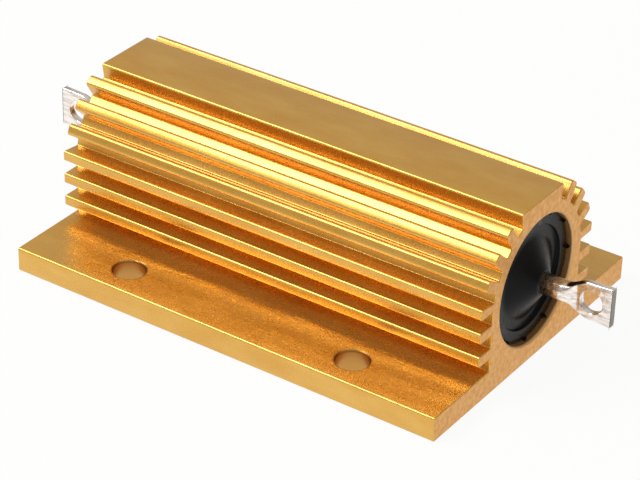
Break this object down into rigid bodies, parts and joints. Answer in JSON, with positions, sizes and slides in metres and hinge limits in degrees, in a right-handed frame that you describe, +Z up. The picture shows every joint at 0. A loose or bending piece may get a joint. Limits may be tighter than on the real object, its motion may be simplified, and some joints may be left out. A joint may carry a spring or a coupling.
{
  "type": "aluminium housed power resistor",
  "caption": "Finned gold aluminium housing with a flanged, drilled base and a black moulded wirewound element inside, with a flat solder lug on each end.",
  "frame": {"origin": "centre of the mounting face, on the plane the base rests on", "axes": "+X along the extrusion towards one solder lug, +Y across the base, +Z up from the mounting face through the fins"},
  "size_m": [0.0864, 0.0462, 0.0232],
  "materials": {
    "anodised_aluminium": "satin, gold anodised",
    "moulding_compound": "smooth moulded, half matte",
    "core_ceramic": "unglazed",
    "resistance_wire": "drawn wire",
    "cap_steel": "pressed sheet",
    "tinned_terminal": "bright tinned"
  },
  "bodies": {
    "root": {"housing": "anodised_aluminium", "moulding": "moulding_compound", "ceramic_core": "core_ceramic", "resistance_winding": "resistance_wire", "end_cap_left": "cap_steel", "end_cap_right": "cap_steel", "terminal_left": "tinned_terminal", "terminal_right": "tinned_terminal"}
  },
  "joints": []
}
